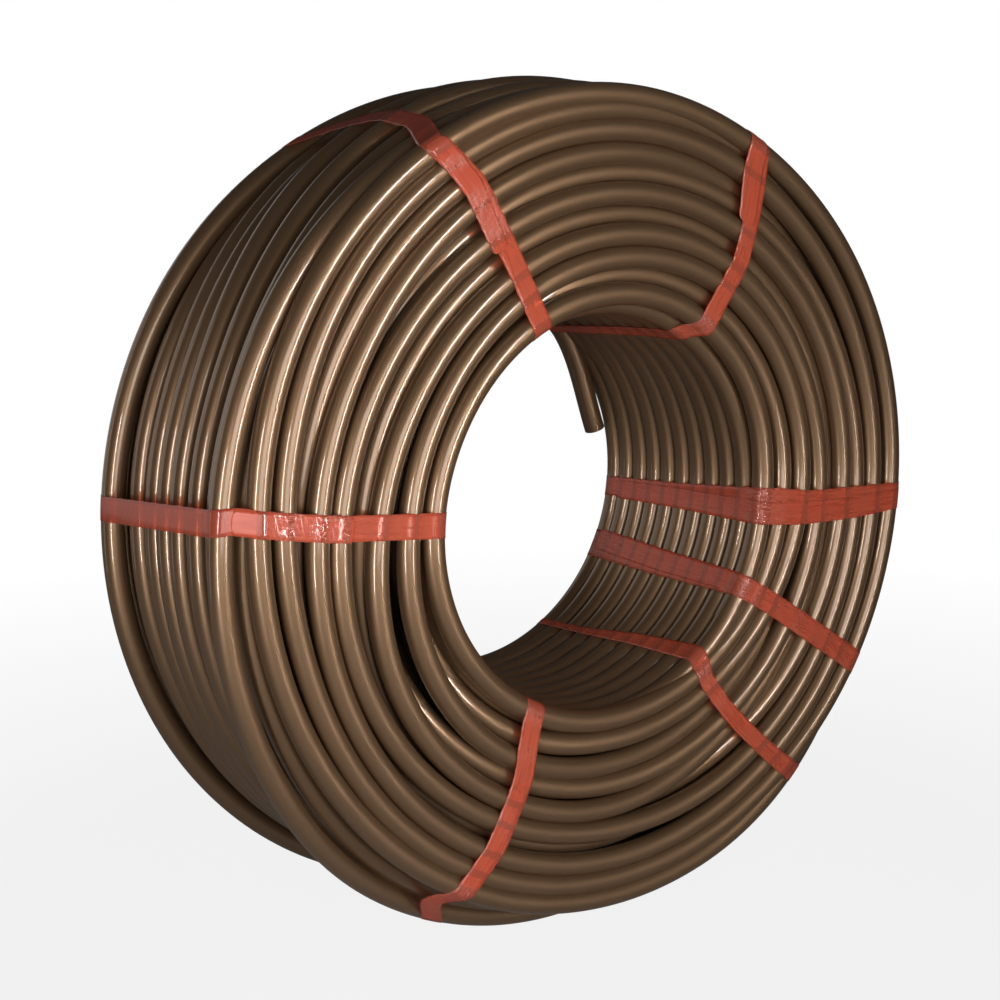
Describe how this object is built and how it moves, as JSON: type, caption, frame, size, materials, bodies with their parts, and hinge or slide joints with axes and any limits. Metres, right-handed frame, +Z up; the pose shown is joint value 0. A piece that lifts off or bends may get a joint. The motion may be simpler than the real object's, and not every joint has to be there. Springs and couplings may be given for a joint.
{
  "type": "coil of pipe",
  "caption": "Coil of plastic heating pipe wound in layers round an open core and bound with bands of adhesive tape.",
  "frame": {"origin": "centre of the coil's footprint, on the floor under its rim", "axes": "+Y along the coil's axis, away from its front face; +Z up; +X to the right seen from the front"},
  "size_m": [0.7627, 0.231, 0.7625],
  "materials": {
    "pipe_plastic": "extruded polyethylene in metallic bronze brown, satin to semi-gloss",
    "tape_film": "thin translucent red-orange adhesive tape, glossy and wrinkled"
  },
  "bodies": {
    "root": {"pipe": "pipe_plastic", "tape_1": "tape_film", "tape_2": "tape_film", "tape_3": "tape_film", "tape_4": "tape_film", "tape_5": "tape_film", "tape_6": "tape_film", "tape_7": "tape_film"}
  },
  "joints": []
}
